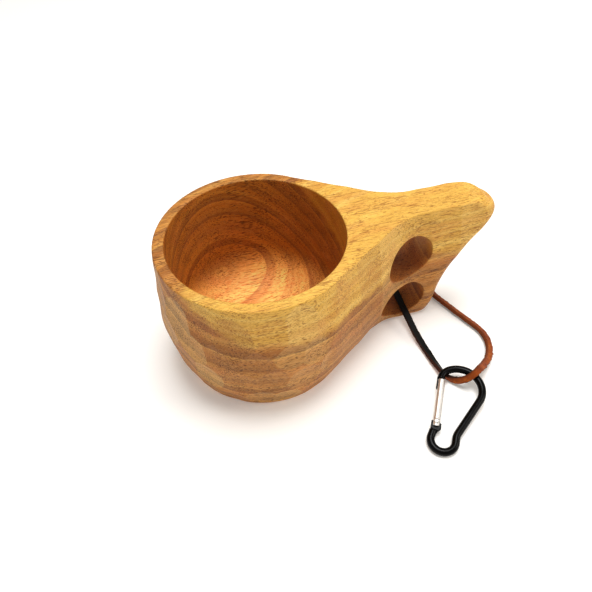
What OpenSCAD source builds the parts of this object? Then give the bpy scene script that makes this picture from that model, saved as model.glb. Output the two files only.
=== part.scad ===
// Carved wooden drinking cup (kuksa) with a two-hole handle, a leather lanyard
// and a small snap hook. The origin is the middle of the flat base, X runs
// along the handle and Z is up. All sizes are in millimetres.

/* [Bowl] */
// Height of the cup, from the flat base to the flat top
cup_h = 71.5; // [71:0.5:74]
// Radius of the bowl's opening
mouth_r = 39.5; // [38:0.5:41]
// Thickness of the bowl's floor
floor_t = 9.5; // [8:0.5:12]
// Radius of the hollow at its widest
hollow_r = 40; // [38.5:0.5:41.5]

/* [Handle] */
// Half of the handle's thickness at its top and bottom
handle_half = 8.7; // [8:0.1:10]
// How much each side of the handle swells out at half height
handle_swell = 1; // [0:0.1:1.2]
// Angle between the neck's flank and the handle
neck_angle = 34; // [32:1:38]
// Radius of the hollow curve where the neck meets the handle
neck_r = 36; // [28:1:38]
// Radius of the two finger holes
hole_r = 12.25; // [10:0.25:12.5]
// Distance of the finger holes from the bowl's centre
hole_x = 70; // [69:0.5:72]
// Height of the lower finger hole's centre
hole_low_z = 17; // [16.5:0.5:18]
// Height of the upper finger hole's centre
hole_high_z = 47; // [46:0.5:49]

/* [Carving] */
// Number of knife facets round the bowl in each row
facet_cols = 20; // [12:1:20]
// How much of the facets' depth is kept, 0 for a smooth bowl
facet_depth = 1; // [0:0.1:1.2]

/* [Lanyard] */
// Width of the leather strip
strip_w = 3.3; // [3:0.1:3.5]
// Thickness of the leather strip
strip_t = 1.9; // [1.6:0.1:2]

/* [Snap hook] */
// Diameter of the bent rod
rod_d = 3.6; // [3.3:0.1:3.7]
// Diameter of the tubular gate
gate_d = 3.5; // [3.4:0.1:3.6]
// Thickness of the flat tang that the gate turns on
tang_t = 1.3; // [1:0.1:1.4]
// Radius of the gate's rivet
rivet_r = 0.75; // [0.6:0.05:0.85]

/* [Hidden] */

// Running clearance of pins and sliding pieces
fit_gap = 0.05;
// Depth by which the raw block reaches below the base before it is planed flat
under = 1;
// Gap between the table and the handle's underside
handle_lift = 1.6;

// Outer radius of the bowl against height
bowl_profile = [[-1, 38.8], [3, 41], [9, 43.2], [18, 45.3], [30, 47.1], [41, 47.5],
                [52, 46.9], [62, 45.5], [71.5, 44.3]];
// Reach of the handle's end against height: a beak above a hollow, then upright
beak_profile = [[-1, 89.5], [5, 92], [18, 94], [32, 98.5], [46, 106.3], [56, 112.3],
                [63, 115], [68, 113.6], [71.5, 108.5]];
// Facet rows as [height of the middle, how far the cut leans out of the surface]
facet_rows = [[8, 0], [26, 0], [43, 0], [60, 0.075]];
// Turn of all the rows about the bowl, and the depth to which their cuts bite
facet_turn = -1.5;
facet_bite = 0.55;
// Unevenness of the hand carving: height, share of a column's width, and lean
uneven_z = 1.4;
uneven_col = 0.14;
uneven_lean = 0.03;

// Steps round one half of the outline: bowl, flank, hollow curve, handle, end
arc_steps = 24;
flank_steps = 4;
fillet_steps = 6;
side_steps = 3;
end_steps = 6;
level_steps = 22;

// ---- curves ----

function clamp01(v) = min(1, max(0, v));
function ease(v) = let (c = clamp01(v)) c * c * (3 - 2 * c);

// Slope of a table of [place, value] rows at row k
function row_slope(t, k) =
    let (a = max(0, k - 1), b = min(len(t) - 1, k + 1))
    (t[b][1] - t[a][1]) / (t[b][0] - t[a][0]);

// Smooth value of the table at a place, by cubic pieces
function smooth_at(t, p) =
    let (k = max([for (i = [0:len(t) - 2]) t[i][0] <= p ? i : 0]),
         h = t[k + 1][0] - t[k][0],
         s = (p - t[k][0]) / h)
    t[k][1] * (2 * s * s * s - 3 * s * s + 1)
    + row_slope(t, k) * h * (s * s * s - 2 * s * s + s)
    + t[k + 1][1] * (3 * s * s - 2 * s * s * s)
    + row_slope(t, k + 1) * h * (s * s * s - s * s);

// ---- carved surface of the bowl ----

// A steady scatter between -1 and 1 for facet i of row j
function scatter(i, j, seed) = sin(i * 137.5 + j * 71.3 + seed * 53.9);

// Radius at which a flat facet cuts the ray at angle a and height z
function facet_cut(i, j, a, z) =
    let (zc = facet_rows[j][0] + uneven_z * scatter(i, j, 1),
         ac = facet_turn + (i + 0.5 * (j % 2) + uneven_col * scatter(i, j, 2)) * 360 / facet_cols,
         lean = bowl_slope_at(zc) + facet_rows[j][1] + uneven_lean * scatter(i, j, 3),
         off = cos(a - ac))
    off < 0.8 ? 999 : (smooth_at(bowl_profile, zc) - facet_bite + (z - zc) * lean) / off;
function bowl_slope_at(z) =
    (smooth_at(bowl_profile, z + 2) - smooth_at(bowl_profile, z - 2)) / 4;

// Outer radius of the carved bowl: the nearest facet, fading out at the neck
function bowl_radius(a, z) =
    let (smooth_r = smooth_at(bowl_profile, z),
         cut = min([for (j = [0:len(facet_rows) - 1], i = [0:facet_cols - 1])
                    facet_cut(i, j, a, z)]),
         keep = facet_depth * ease((abs(a) - 58) / 12))
    smooth_r + (min(cut, smooth_r + 0.2) - smooth_r) * keep;

// ---- outline of the whole cup at one height ----

// Half of the handle's thickness at a height: a shallow swell in the middle
function half_thick(z) = handle_half + handle_swell * (1 - pow(2 * z / cup_h - 1, 2));

function half_outline(z) =
    let (thick = half_thick(z),
         r = smooth_at(bowl_profile, z),
         foot = [r * sin(neck_angle), r * cos(neck_angle)],
         meet_x = foot[0] + (foot[1] - thick) / tan(neck_angle),
         reach = neck_r * tan(neck_angle / 2),
         curve_a = [meet_x - reach * cos(neck_angle), thick + reach * sin(neck_angle)],
         curve_x = meet_x + reach,
         end_x = smooth_at(beak_profile, z),
         end_r = min(9.2, end_x - curve_x - 0.4))
    concat(
        [for (i = [0:arc_steps - 1])
            let (a = 180 - i * (90 + neck_angle) / arc_steps, q = bowl_radius(a, z))
            [q * cos(a), q * sin(a)]],
        [for (i = [0:flank_steps - 1]) foot + (curve_a - foot) * i / flank_steps],
        [for (i = [0:fillet_steps - 1])
            let (a = neck_angle * (1 - i / fillet_steps))
            [curve_x - neck_r * sin(a), thick + neck_r * (1 - cos(a))]],
        [for (i = [0:side_steps - 1])
            [curve_x + (end_x - end_r - curve_x) * i / side_steps, thick]],
        [for (i = [0:end_steps])
            let (a = 90 * i / end_steps)
            [end_x - end_r + end_r * pow(sin(a), 0.9), thick * pow(max(0, cos(a)), 0.9)]]);

// The underside rises under the handle, and the top rolls down at its end
function low_z(x) = -under + (handle_lift + under) * ease((x - 44) / 20);
function top_z(x) = cup_h - 2.6 * pow(clamp01((x - 93) / 17), 2);

// A closed ring of points at one level, with the far half mirrored
function level_ring(level) =
    let (z = -under + level * (cup_h + under) / level_steps,
         half = half_outline(z),
         n = len(half),
         flat = concat(half, [for (i = [n - 2:-1:1]) [half[i][0], -half[i][1]]]))
    [for (p = flat)
        [p[0], p[1], low_z(p[0]) + (top_z(p[0]) - low_z(p[0])) * level / level_steps]];

// Skin between neighbouring rings of n points each
function skin_faces(rings, n) =
    [for (j = [0:rings - 2], i = [0:n - 1])
        let (a = j * n + i, b = j * n + (i + 1) % n)
        each [[a, b, a + n], [b, b + n, a + n]]];

// Flat cover of a mirrored ring, laid as strips from one side to the other
function cover_faces(first, n, up) =
    [for (i = [0:n / 2 - 1])
        let (a = first + i, b = first + i + 1, c = first + (n - i - 1) % n,
             d = first + (n - i) % n)
        each [for (t = [[a, b, c], [a, c, d]])
            if (t[0] != t[1] && t[1] != t[2] && t[0] != t[2]) up ? t : [t[2], t[1], t[0]]]];

module carved_block() {
    rings = [for (l = [0:level_steps]) level_ring(l)];
    n = len(rings[0]);
    polyhedron(points = [for (r = rings) each r],
               faces = concat(skin_faces(len(rings), n),
                              cover_faces(0, n, false),
                              cover_faces(n * (len(rings) - 1), n, true)));
}

// The bowl's hollow: a rounded floor under a nearly straight wall
module bowl_hollow() {
    knee_z = floor_t + 22;
    rotate_extrude($fn = 96)
        polygon(concat(
            [[0, cup_h + 5], [mouth_r, cup_h + 5], [mouth_r, cup_h], [hollow_r + 0.2, knee_z + 18]],
            [for (a = [0:9:81])
                [hollow_r * pow(cos(a), 0.83), knee_z - 22 * pow(sin(a), 0.83)]],
            [[0, floor_t]]));
}

module finger_hole(z) {
    translate([hole_x, 0, z])
        rotate([90, 0, 0]) cylinder(r = hole_r, h = 80, center = true, $fn = 96);
}

module cup_body() {
    color("burlywood")
        difference() {
            carved_block();
            translate([-100, -100, -20]) cube([240, 200, 20]);
            bowl_hollow();
            finger_hole(hole_low_z);
            finger_hole(hole_high_z);
        }
}

// ---- lanyard ----

// Route of the strip's middle, as [x, y, z, roll]: from the knot behind the
// handle through the lower hole, under and over the hook's bow and back.
// Roll lifts the strip's left edge, seen along the route.
lanyard_route = [
    [86, 21.6, 3, 0], [82.5, 20.6, 3.6, 0], [78.6, 17.4, 5, 6], [75.6, 12.4, 6.6, 14],
    [74.3, 6, 6.7, 17], [73.8, 0, 6.6, 17], [73.5, -6, 6.6, 17], [73.4, -11, 6.3, 8],
    [73.7, -16, 5.2, 0], [74.1, -22, 3.6, -4], [74.9, -29, 2.3, -8], [75.6, -35, 1.8, -16],
    [76.2, -41, 1.8, -28], [76.8, -46, 2, -45], [77.4, -49.4, 2, -64], [79.4, -52.8, 2.3, -90],
    [82, -55.4, 3.7, -118], [84.8, -57.2, 6.5, -140], [88, -57.3, 9.4, -152],
    [91.4, -55.4, 9.2, -158], [94.9, -53, 7, -160], [98, -50.6, 5.2, -160],
    [101.3, -47.9, 3.6, -160], [104.3, -44.3, 2.4, -160], [106.6, -40.3, 1.8, -158],
    [107.9, -35.5, 1.8, -157], [107.7, -30, 1.8, -157], [106, -25, 1.8, -157],
    [103.8, -20, 1.8, -157], [101.6, -15, 1.8, -157], [99.5, -10, 1.8, -157],
    [97.4, -4.8, 1.8, -157], [95.6, 0, 1.8, -157], [94.4, 5, 1.8, -160],
    [93.8, 11, 1.8, -165], [92.6, 17.4, 2.3, -172], [90, 21.6, 3, -180]];
rings_per_span = 2;

// Smooth point of a list of points at place t, which counts the points
function route_at(p, t) =
    let (k = min(floor(t), len(p) - 2), s = t - k,
         a = p[max(k - 1, 0)], b = p[k], c = p[k + 1], d = p[min(k + 2, len(p) - 1)])
    0.5 * (2 * b + (c - a) * s + (2 * a - 5 * b + 4 * c - d) * s * s
           + (3 * b - a - 3 * c + d) * s * s * s);
function spot(p, t) = let (q = route_at(p, t)) [q[0], q[1], q[2]];
function unit(v) = v / norm(v);

// One ring of the strip: an eight-sided flat section, rolled about the route
function strip_ring(p, t) =
    let (step = 0.02,
         ahead = unit(spot(p, min(t + step, len(p) - 1)) - spot(p, max(t - step, 0))),
         left = unit(cross([0, 0, 1], ahead)),
         up = cross(ahead, left),
         roll = route_at(p, t)[3],
         wide = left * cos(roll) + up * sin(roll),
         thin = up * cos(roll) - left * sin(roll))
    [for (c = [[1, 0.4], [0.8, 1], [-0.8, 1], [-1, 0.4], [-1, -0.4], [-0.8, -1], [0.8, -1],
               [1, -0.4]])
        spot(p, t) + wide * c[0] * strip_w / 2 + thin * c[1] * strip_t / 2];

module lanyard() {
    count = rings_per_span * (len(lanyard_route) - 1);
    last = 8 * count;
    color("saddlebrown")
        polyhedron(
            points = [for (i = [0:count]) each strip_ring(lanyard_route, i / rings_per_span)],
            faces = concat(skin_faces(count + 1, 8),
                           [[for (i = [7:-1:0]) i]],
                           [[for (i = [0:7]) last + i]]));
}

// The knot that closes the strip into a loop
module lanyard_knot() {
    knot_r = 3.4;
    color("saddlebrown")
        translate([88, 22.4, knot_r])
            rotate([0, 90, 0])
                rotate_extrude($fn = 32)
                    polygon([[0, -3.6], [2, -3.4], [knot_r, -1.6], [knot_r, 1.6], [2, 3.4],
                             [0, 3.6]]);
}

// ---- snap hook ----

// The hook lies with its small end on the table and its bow on the strip.
// Its own frame has the rivet at the origin, X along the gate and Y outwards.
rod_r = rod_d / 2;
hook_tilt = 6;
// Place of the rivet over the table
rivet_xy = [62.1, -72.8];
hook_yaw = 59.2;
// Middle and radius of the bow, the shoulder by the nose, and the small end
bow_c = [19.2, -8.4];
bow_r = 10.6;
shoulder_r = 7;
shoulder_a = 30;
shoulder_c = bow_c + (bow_r - shoulder_r) * [cos(shoulder_a), sin(shoulder_a)];
small_c = [-8, -3.9];
small_r = 5.5;
small_stop = atan2(-small_c[1], -small_c[0]) + acos(small_r / norm(small_c));
waist_r = 8;
spine_a = 24;
// Ends of the straight spine and of the waist's curve
spine_top = bow_c + bow_r * [-sin(spine_a), -cos(spine_a)];
small_top_y = small_c[1] - small_r;
spine_len = (small_top_y - spine_top[1]) / sin(spine_a) - waist_r * tan(spine_a / 2);
spine_end = spine_top + spine_len * [-cos(spine_a), sin(spine_a)];
waist_c = spine_end + waist_r * [-sin(spine_a), -cos(spine_a)];
small_end = small_c + small_r * [cos(small_stop), sin(small_stop)];
tang_a = 90 - small_stop;
// Distance from the rivet at which the round rod ends in the flattened tang
gate_clear_r = 4.5;
// The round rod runs this far past the tang's start, so that the two join
tang_overlap = 0.3;
stub_len = norm(small_end) - gate_clear_r + tang_overlap;
nose_x = shoulder_c[0];
// The lowest point of the small end touches the table wherever the hook is turned
rivet_z = rod_r + sin(hook_tilt) * (norm(small_c - bow_c) + small_r - bow_c[0]);
gate_r = gate_d / 2;
// Gap between the closed gate's end and the nose
nose_gap = 0.25;
gate_end = nose_x - nose_gap;
gate_foot_r = 2.5;
slot_half = tang_t / 2 + 0.1;
slot_end = 2.9;
bore_r = 1.1;
bore_end = 13;
// Outline of the flattened rod end that carries the rivet, wider than the gate
tang_edge = [[0.6, 2.25], [-4.2, 2.3], [-6, 1.8], [-6.2, 0.4], [-5.2, -0.6], [-3.5, -2.2],
             [-2.9, -2.4], [-0.5, -2.35]];
// Outline of the nose's flattened tongue, which the closed gate's slot takes in
tongue_edge = [[22.9, 2.1], [17.3, 2.2], [16.7, 1.8], [18.4, -1], [22.9, -1]];
tongue_slot_x = 16.3;
tongue_slot_y = -1.12;
// The tang's edge is a cam: its radius grows as the gate opens
cam_low = 1.7;
cam_rise = 0.5;
gate_swing = 28;
plunger_r = 0.95;
plunger_tip = cam_low + 0.15;
plunger_len = 2.6;
spring_start = plunger_tip + plunger_len;
spring_wire = 0.3;
spring_turns = 7;

module place_hook() {
    translate([rivet_xy[0], rivet_xy[1], rivet_z])
        rotate([0, 0, hook_yaw]) rotate([0, -hook_tilt, 0])
            children();
}

// Points on an arc about c of radius r, from angle a to angle b
function arc_points(c, r, a, b, steps) =
    [for (i = [0:steps]) let (t = a + (b - a) * i / steps) c + r * [cos(t), sin(t)]];

// Middle line of the bent rod, from the nose to the stub behind the tang
rod_path = concat(
    arc_points(shoulder_c, shoulder_r, 90, shoulder_a + 10, 5),
    arc_points(bow_c, bow_r, shoulder_a, -90 - spine_a, 16),
    [spine_end],
    arc_points(waist_c, waist_r, 98 - spine_a, 90, 3),
    arc_points(small_c, small_r, -90, small_stop - 360, 18),
    [small_end + stub_len * [cos(tang_a), -sin(tang_a)]]);
rod_sides = 14;

// One ring of the rod, square to its middle line at point k
function rod_ring(k) =
    let (a = rod_path[max(k - 1, 0)], b = rod_path[k],
         c = rod_path[min(k + 1, len(rod_path) - 1)],
         before = norm(b - a) > 0 ? (b - a) / norm(b - a) : [0, 0],
         after = norm(c - b) > 0 ? (c - b) / norm(c - b) : [0, 0],
         along = (before + after) / norm(before + after))
    [for (i = [0:rod_sides - 1])
        let (t = 360 * (i + 0.5) / rod_sides, out = rod_r * cos(t))
        [b[0] + along[1] * out, b[1] - along[0] * out, rod_r * sin(t)]];

module bent_rod() {
    count = len(rod_path) - 1;
    last = rod_sides * count;
    polyhedron(points = [for (k = [0:count]) each rod_ring(k)],
               faces = concat(skin_faces(count + 1, rod_sides),
                              [[for (i = [rod_sides - 1:-1:0]) i]],
                              [[for (i = [0:rod_sides - 1]) last + i]]));
}

// Edge of the tang, with the cam on the side that the opening gate turns to
function cam_radius(a) = cam_low + cam_rise * clamp01(a / gate_swing);

module tang() {
    difference() {
        translate([0, 0, -tang_t / 2])
            linear_extrude(tang_t)
                union() {
                    polygon(concat(
                        [for (a = [0:4:44]) cam_radius(a) * [cos(a), -sin(a)]],
                        [for (a = [60:20:340]) cam_low * [cos(a), -sin(a)]]));
                    polygon(tang_edge);
                }
        cylinder(r = rivet_r, h = 10, center = true, $fn = 32);
    }
}

// The nose's tongue keeps the closed gate from swinging outwards
module nose_tongue() {
    translate([0, 0, -tang_t / 2])
        linear_extrude(tang_t) polygon(tongue_edge);
}

module hook_body() {
    color([0.05, 0.05, 0.055])
        place_hook()
            union() {
                difference() {
                    bent_rod();
                    cylinder(r = gate_clear_r, h = 10, center = true, $fn = 48);
                }
                tang();
                nose_tongue();
            }
}

module hook_gate() {
    color("silver")
        place_hook()
            difference() {
                union() {
                    rotate([0, 90, 0]) cylinder(r = gate_r, h = gate_end, $fn = 32);
                    intersection() {
                        cylinder(r = gate_foot_r, h = gate_d + 1, center = true, $fn = 48);
                        translate([-gate_foot_r, 0, 0])
                            rotate([0, 90, 0]) cylinder(r = gate_r, h = 5, $fn = 32);
                    }
                }
                translate([-4, -5, -slot_half]) cube([4 + slot_end, 10, 2 * slot_half]);
                translate([slot_end - 0.5, 0, 0])
                    rotate([0, 90, 0]) cylinder(r = bore_r, h = bore_end - slot_end + 0.5, $fn = 32);
                translate([tongue_slot_x, tongue_slot_y, -slot_half]) cube([10, 5, 2 * slot_half]);
                cylinder(r = rivet_r + fit_gap, h = 10, center = true, $fn = 32);
            }
}

// Rivet with a low domed head on each face of the gate
module gate_rivet() {
    head_r = 1.25;
    half = gate_r + 0.05;
    color("gainsboro")
        place_hook()
            rotate_extrude($fn = 32)
                polygon([[0, -half - 0.45], [0.8, -half - 0.35], [head_r, -half],
                         [rivet_r, -half], [rivet_r, half], [head_r, half],
                         [0.8, half + 0.35], [0, half + 0.45]]);
}

// Coil spring in the gate's bore, drawn as one plain ring for each turn
module gate_spring() {
    pitch = (bore_end - 0.1 - spring_start - spring_wire) / spring_turns;
    color("darkgray")
        place_hook()
            rotate([0, 90, 0])
                for (i = [0:spring_turns])
                    translate([0, 0, spring_start + spring_wire / 2 + 0.05 + i * pitch])
                        rotate_extrude($fn = 32)
                            translate([bore_r - 0.1 - spring_wire / 2, 0])
                                circle(r = spring_wire / 2, $fn = 16);
}

// Plunger that the spring presses against the tang's cam
module gate_plunger() {
    color("gray")
        place_hook()
            rotate([0, 90, 0])
                rotate_extrude($fn = 32)
                    polygon(concat([[0, spring_start]],
                        [[plunger_r, spring_start]],
                        [for (a = [0:15:75])
                            [plunger_r * cos(a), plunger_tip + plunger_r * (1 - sin(a))]],
                        [[0, plunger_tip]]));
}

cup_body();
lanyard();
lanyard_knot();
hook_body();
hook_gate();
gate_rivet();
gate_spring();
gate_plunger();
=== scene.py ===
import math

import bpy
import numpy as np
from mathutils import Matrix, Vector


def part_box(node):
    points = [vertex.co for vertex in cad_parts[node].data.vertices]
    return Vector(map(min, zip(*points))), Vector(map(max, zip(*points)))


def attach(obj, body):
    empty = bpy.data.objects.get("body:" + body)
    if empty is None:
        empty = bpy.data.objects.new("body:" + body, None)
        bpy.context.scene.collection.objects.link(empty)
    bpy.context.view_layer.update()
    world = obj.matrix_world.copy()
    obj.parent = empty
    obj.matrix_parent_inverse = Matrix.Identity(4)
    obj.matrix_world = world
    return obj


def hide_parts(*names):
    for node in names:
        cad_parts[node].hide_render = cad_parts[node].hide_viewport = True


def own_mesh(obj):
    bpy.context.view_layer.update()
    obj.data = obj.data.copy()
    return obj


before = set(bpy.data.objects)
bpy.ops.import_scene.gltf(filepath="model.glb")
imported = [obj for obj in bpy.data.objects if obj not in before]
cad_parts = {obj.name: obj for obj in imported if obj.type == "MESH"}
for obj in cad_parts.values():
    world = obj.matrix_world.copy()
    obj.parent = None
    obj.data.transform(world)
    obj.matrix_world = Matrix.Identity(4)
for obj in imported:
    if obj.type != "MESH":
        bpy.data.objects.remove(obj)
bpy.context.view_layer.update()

# Lengths are in millimetres and angles in radians, unless a comment says otherwise
MM = 0.001


def unit(v):
    v = np.asarray(v, dtype=float)
    return v / np.linalg.norm(v, axis=-1, keepdims=True)


def ease(v):
    """Smooth step from 0 to 1."""
    c = np.clip(v, 0, 1)
    return c * c * (3 - 2 * c)


# ---- camera, at the photograph's angle ----

CAMERA_TURN = (-14.48, 47.63, -2.02)     # azimuth, elevation and roll, in degrees
CAMERA_TARGET = np.array([6.9, -39.6, 71.5])
CAMERA_DISTANCE = 225.3
CAMERA_LENS = 35.23
CAMERA_SENSOR = 36


def facing(right, up, back, place):
    """Transform of an object that looks along -back from a place in metres."""
    made = Matrix.Identity(4)
    for i in range(3):
        made[i][0], made[i][1], made[i][2], made[i][3] = right[i], up[i], back[i], place[i]
    return made


def add_camera():
    azimuth, elevation, roll = (math.radians(v) for v in CAMERA_TURN)
    back = np.array([math.sin(azimuth) * math.cos(elevation),
                     -math.cos(azimuth) * math.cos(elevation), math.sin(elevation)])
    level = np.array([math.cos(azimuth), math.sin(azimuth), 0.0])
    above = np.cross(back, level)
    right = math.cos(roll) * level + math.sin(roll) * above
    up = math.cos(roll) * above - math.sin(roll) * level
    camera = bpy.data.objects.new("camera", bpy.data.cameras.new("camera"))
    camera.data.lens = CAMERA_LENS
    camera.data.sensor_width = CAMERA_SENSOR
    camera.data.clip_start = 0.01
    camera.matrix_world = facing(right, up, back, (CAMERA_TARGET + back * CAMERA_DISTANCE) * MM)
    bpy.context.collection.objects.link(camera)
    bpy.context.scene.camera = camera


add_camera()


# ---- node graph helper ----

def srgb(code):
    """Linear colour of a #RRGGBB code."""
    values = [int(code[i:i + 2], 16) / 255 for i in (1, 3, 5)]
    return tuple(v / 12.92 if v <= 0.04045 else ((v + 0.055) / 1.055) ** 2.4 for v in values)


class Graph:
    """Builds a material's nodes; every method returns an output socket."""

    def __init__(self, name):
        self.material = bpy.data.materials.new(name)
        self.material.use_nodes = True
        self.tree = self.material.node_tree
        self.shader = self.tree.nodes["Principled BSDF"]

    def put(self, socket, value):
        """Links a socket to another, or sets its constant; None leaves it alone."""
        if isinstance(value, bpy.types.NodeSocket):
            self.tree.links.new(value, socket)
        elif value is not None:
            socket.default_value = value

    def add(self, kind, **properties):
        node = self.tree.nodes.new(kind)
        for key, value in properties.items():
            setattr(node, key, value)
        return node

    def place(self):
        """The surface point in millimetres, in the shared frame."""
        coords = self.add("ShaderNodeTexCoord").outputs["Object"]
        return self.vec("SCALE", coords, scale=1000.0)

    def math(self, operation, a, b=None, c=None):
        node = self.add("ShaderNodeMath", operation=operation)
        for socket, value in zip(node.inputs, (a, b, c)):
            self.put(socket, value)
        return node.outputs[0]

    def vec(self, operation, a, b=None, scale=None):
        node = self.add("ShaderNodeVectorMath", operation=operation)
        self.put(node.inputs[0], a)
        self.put(node.inputs[1], b)
        if scale is not None:
            self.put(node.inputs["Scale"], scale)
        return node.outputs["Value" if operation in ("DOT_PRODUCT", "LENGTH") else "Vector"]

    def split(self, vector):
        node = self.add("ShaderNodeSeparateXYZ")
        self.put(node.inputs[0], vector)
        return node.outputs

    def join(self, x, y, z):
        node = self.add("ShaderNodeCombineXYZ")
        for socket, value in zip(node.inputs, (x, y, z)):
            self.put(socket, value)
        return node.outputs[0]

    def _noise(self, dimensions, socket, value, scale, detail, rough):
        node = self.add("ShaderNodeTexNoise", noise_dimensions=dimensions)
        self.put(node.inputs[socket], value)
        for key, number in (("Scale", scale), ("Detail", detail), ("Roughness", rough)):
            node.inputs[key].default_value = number
        return node.outputs["Fac"]

    def noise(self, vector, scale, detail, rough):
        """Noise at a point; a scale of three numbers is one for each axis."""
        if isinstance(scale, tuple):
            vector, scale = self.vec("MULTIPLY", vector, scale), 1.0
        return self._noise("3D", "Vector", vector, scale, detail, rough)

    def noise_1d(self, value, scale, detail, rough):
        return self._noise("1D", "W", value, scale, detail, rough)

    def cell_edges(self, vector, scale):
        """Distance to the nearest border between random cells."""
        node = self.add("ShaderNodeTexVoronoi", voronoi_dimensions="3D",
                        feature="DISTANCE_TO_EDGE")
        self.put(node.inputs["Vector"], self.vec("MULTIPLY", vector, (scale, scale, scale)))
        node.inputs["Scale"].default_value = 1.0
        return node.outputs["Distance"]

    def attribute(self, name):
        """A number stored on the mesh's points."""
        node = self.add("ShaderNodeAttribute", attribute_type="GEOMETRY", attribute_name=name)
        return node.outputs["Fac"]

    def step(self, value, low, high, to_low=0.0, to_high=1.0):
        """Smooth step of a value, from to_low at low to to_high at high."""
        node = self.add("ShaderNodeMapRange", interpolation_type="SMOOTHSTEP")
        for socket, number in zip(node.inputs, (value, low, high, to_low, to_high)):
            self.put(socket, number)
        return node.outputs[0]

    def ramp(self, value, stops):
        """Colour of a value, eased between (place, colour code) stops."""
        node = self.add("ShaderNodeValToRGB")
        band = node.color_ramp
        band.interpolation = "EASE"
        while len(band.elements) < len(stops):
            band.elements.new(0.5)
        for element, (at, code) in zip(band.elements, stops):
            element.position = at
            element.color = (*srgb(code), 1.0)
        self.put(node.inputs[0], value)
        return node.outputs[0]

    def mix(self, amount, a, b, blend="MIX"):
        """Colour a turned into b by an amount; a and b are sockets or colour codes."""
        node = self.add("ShaderNodeMix", data_type="RGBA", blend_type=blend, clamp_factor=True)
        for name, value in (("Factor_Float", amount), ("A_Color", a), ("B_Color", b)):
            socket = next(s for s in node.inputs if s.identifier == name)
            if isinstance(value, str):
                value = (*srgb(value), 1.0)
            self.put(socket, value)
        return next(s for s in node.outputs if s.identifier == "Result_Color")

    def tint(self, amount, color, code):
        """Multiplies a colour by a colour code, by an amount."""
        return self.mix(amount, color, self.mix(1.0, color, code, blend="MULTIPLY"))

    def bump(self, height, strength, distance):
        node = self.add("ShaderNodeBump")
        node.inputs["Strength"].default_value = strength
        node.inputs["Distance"].default_value = distance
        self.put(node.inputs["Height"], height)
        return node.outputs[0]

    def finish(self, color, roughness, normal=None, **constants):
        """Fills the shader; constants are set on its own sockets."""
        self.put(self.shader.inputs["Base Color"], color)
        self.put(self.shader.inputs["Roughness"], roughness)
        self.put(self.shader.inputs["Normal"], normal)
        for key, value in constants.items():
            self.shader.inputs[key.replace("_", " ")].default_value = value
        return self.material


# ---- meshes ----

def make_object(name, vertices, faces, materials, normals=None):
    """Adds a smooth mesh object from points in millimetres."""
    mesh = bpy.data.meshes.new(name)
    points = np.asarray(vertices, dtype=np.float64) * MM
    mesh.from_pydata(points.tolist(), [], [list(map(int, f)) for f in faces])
    mesh.update()
    mesh.shade_smooth()
    if normals is not None:
        mesh.normals_split_custom_set_from_vertices(np.asarray(normals).tolist())
    for material in materials:
        mesh.materials.append(material)
    made = bpy.data.objects.new(name, mesh)
    bpy.context.collection.objects.link(made)
    return made


def spline(points, per_span):
    """Catmull-Rom samples through rows of points, per_span to each span."""
    p = np.asarray(points, dtype=float)
    k = np.arange(len(p) - 1)
    a, b, c, d = (p[np.clip(k + o, 0, len(p) - 1)] for o in (-1, 0, 1, 2))
    out = []
    for s in np.arange(per_span) / per_span:
        out.append(0.5 * (2 * b + (c - a) * s + (2 * a - 5 * b + 4 * c - d) * s ** 2
                          + (3 * b - a - 3 * c + d) * s ** 3))
    rows = np.stack(out, axis=1).reshape(-1, p.shape[1])
    return np.vstack([rows, p[-1]])


def store(piece, name, values):
    """Stores a number on each point of a piece's mesh."""
    data = piece.data.attributes.new(name, "FLOAT", "POINT").data
    data.foreach_set("value", values.astype(np.float32))


def tube_faces(rings, around):
    """Faces of a tube of rings, each of the same number of points, with closed ends."""
    faces = []
    for j in range(rings - 1):
        for i in range(around):
            a, b = j * around + i, j * around + (i + 1) % around
            faces.append((a, b, b + around, a + around))
    faces.append(tuple(range(around - 1, -1, -1)))
    last = (rings - 1) * around
    faces.append(tuple(last + i for i in range(around)))
    return faces


# ---- lanyard: the cord ----

# Middle of the leather strip, as (x, y, z, roll in degrees), from the knot
# behind the handle through the lower hole, round the hook's bow and back
LANYARD_ROUTE = [
    (86, 21.6, 3, 0), (82.5, 20.6, 3.6, 0), (78.6, 17.4, 5, 6), (75.6, 12.4, 6.6, 14),
    (74.3, 6, 6.7, 17), (73.8, 0, 6.6, 17), (73.5, -6, 6.6, 17), (73.4, -11, 6.3, 8),
    (73.7, -16, 5.2, 0), (74.1, -22, 3.6, -4), (74.9, -29, 2.3, -8), (75.6, -35, 1.8, -16),
    (76.2, -41, 1.8, -28), (76.8, -46, 2, -45), (77.4, -49.4, 2, -64), (79.4, -52.8, 2.3, -90),
    (82, -55.4, 3.7, -118), (84.8, -57.2, 6.5, -140), (88, -57.3, 9.4, -152),
    (91.4, -55.4, 9.2, -158), (94.9, -53, 7, -160), (98, -50.6, 5.2, -160),
    (101.3, -47.9, 3.6, -160), (104.3, -44.3, 2.4, -160), (106.6, -40.3, 1.8, -158),
    (107.9, -35.5, 1.8, -157), (107.7, -30, 1.8, -157), (106, -25, 1.8, -157),
    (103.8, -20, 1.8, -157), (101.6, -15, 1.8, -157), (99.5, -10, 1.8, -157),
    (97.4, -4.8, 1.8, -157), (95.6, 0, 1.8, -157), (94.4, 5, 1.8, -160),
    (93.8, 11, 1.8, -165), (92.6, 17.4, 2.3, -172), (90, 21.6, 3, -180)]
STRIP_WIDTH = 3.3
STRIP_THICK = 1.9
STRIP_CORNER = 0.42
FRAY = 0.05                 # unevenness of the cut edges and the flesh side
WORN_FROM, WORN_OVER = 84, 8    # X where the back stretch's outer edge turns rough
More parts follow.
